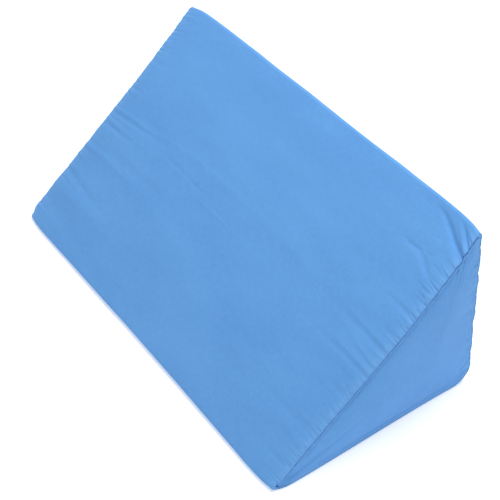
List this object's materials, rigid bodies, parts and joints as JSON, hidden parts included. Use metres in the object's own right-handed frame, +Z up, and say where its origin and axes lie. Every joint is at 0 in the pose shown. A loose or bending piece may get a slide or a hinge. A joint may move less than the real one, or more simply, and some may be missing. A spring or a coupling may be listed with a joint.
{
  "type": "wedge pillow",
  "caption": "Wedge pillow of firm foam in a plain sky-blue woven cover, with a flat base, an upright back, a long slope and triangular end panels seamed in",
  "frame": {"origin": "on the floor, at the middle of the base", "axes": "+X along the length, +Y from the thin toe to the upright back, +Z up"},
  "size_m": [0.5072, 0.2584, 0.205],
  "materials": {
    "cover_cloth": "plain-woven cotton and polyester cloth, dyed sky blue, matt"
  },
  "bodies": {
    "root": {"filled_wrap": "cover_cloth", "end_panel_right": "cover_cloth", "end_panel_left": "cover_cloth"}
  },
  "joints": []
}
